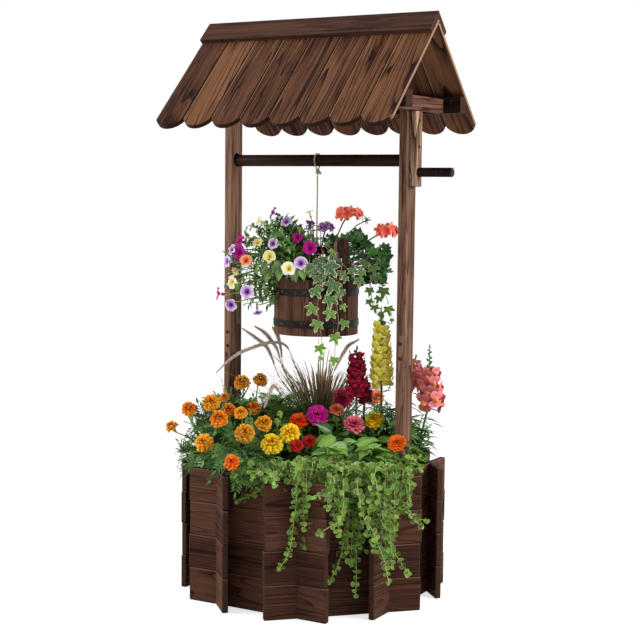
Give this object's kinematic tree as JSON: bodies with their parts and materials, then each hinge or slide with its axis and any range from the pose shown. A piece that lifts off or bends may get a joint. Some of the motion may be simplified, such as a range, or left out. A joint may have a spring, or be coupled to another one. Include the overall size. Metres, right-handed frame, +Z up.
{
  "type": "wishing well planter",
  "caption": "Wooden wishing well planter: eight-sided tub of crossing boards, two posts under a scalloped pitched roof, crossbar with crank arm, and a planted stave bucket on twine.",
  "frame": {"origin": "on the ground, at the middle of the tub", "axes": "+X along the roof's ridge towards the crank, -Y the front, +Z up"},
  "size_m": [0.5613, 0.5306, 1.1452],
  "materials": {
    "tub_board": "dark brown stained softwood, satin",
    "post": "brown stained softwood, satin",
    "beam": "brown stained softwood, satin",
    "roof_board": "burnt and stained softwood with strong grain",
    "ridge_cap": "dark brown stained softwood",
    "crank": "very dark stained wood",
    "stave": "reddish brown stained softwood",
    "band": "black painted steel strip",
    "screw": "dark coated steel",
    "twine": "natural twisted twine",
    "soil": "potting soil",
    "foliage": "leaves and flowers"
  },
  "bodies": {
    "frame": {"wall_front": "tub_board", "wall_front_right": "tub_board", "wall_right": "tub_board", "wall_back_right": "tub_board", "wall_back": "tub_board", "wall_back_left": "tub_board", "wall_left": "tub_board", "wall_front_left": "tub_board", "floor_slats": "tub_board", "floor_bearers": "tub_board", "left_post_lower": "post", "left_post_upper": "post", "right_post_lower": "post", "right_post_upper": "post", "gable_beam_left": "beam", "gable_beam_right": "beam", "eave_rail_front": "beam", "eave_rail_back": "beam", "roof_board_front_1": "roof_board", "roof_board_front_2": "roof_board", "roof_board_front_3": "roof_board", "roof_board_front_4": "roof_board", "roof_board_front_5": "roof_board", "roof_board_front_6": "roof_board", "roof_board_front_7": "roof_board", "roof_board_front_8": "roof_board", "roof_board_back_1": "roof_board", "roof_board_back_2": "roof_board", "roof_board_back_3": "roof_board", "roof_board_back_4": "roof_board", "roof_board_back_5": "roof_board", "roof_board_back_6": "roof_board", "roof_board_back_7": "roof_board", "roof_board_back_8": "roof_board", "ridge_cap_front": "ridge_cap", "ridge_cap_back": "ridge_cap", "crank_arm": "crank", "crank_handle": "crank", "frame_screws": "screw", "soil_bed": "soil", "marigolds": "foliage", "zinnias": "foliage", "fountain_grass": "foliage", "snapdragons": "foliage", "creeping_jenny": "foliage"},
    "crossbar": {"crossbar": "crank"},
    "rope_loop": {"rope_loop": "twine"},
    "hanging_rope": {"hanging_rope": "twine"},
    "bucket": {"bucket_staves": "stave", "bucket_ears": "stave", "bucket_floor": "stave", "bucket_handle": "stave", "bucket_band_upper": "band", "bucket_band_lower": "band", "band_rivets": "band", "handle_loop": "twine", "bucket_soil": "soil", "petunias": "foliage", "geranium": "foliage", "ivy": "foliage"}
  },
  "joints": [
    {"name": "crossbar_spin", "type": "hinge", "parent": "frame", "child": "crossbar", "pos_m": [0, 0, 0.864], "axis": [1, 0, 0], "continuous": true},
    {"name": "bucket_swing", "type": "hinge", "parent": "frame", "child": "rope_loop", "pos_m": [0, 0, 0.864], "axis": [1, 0, 0], "range_deg": [-25, 25]},
    {"name": "bucket_sway", "type": "hinge", "parent": "rope_loop", "child": "hanging_rope", "pos_m": [0, 0, 0.8422], "axis": [0, 1, 0], "range_deg": [-4, 4]},
    {"name": "bucket_twist", "type": "hinge", "parent": "hanging_rope", "child": "bucket", "pos_m": [0, 0, 0.7], "axis": [0, 0, 1], "range_deg": [-10, 10]}
  ]
}
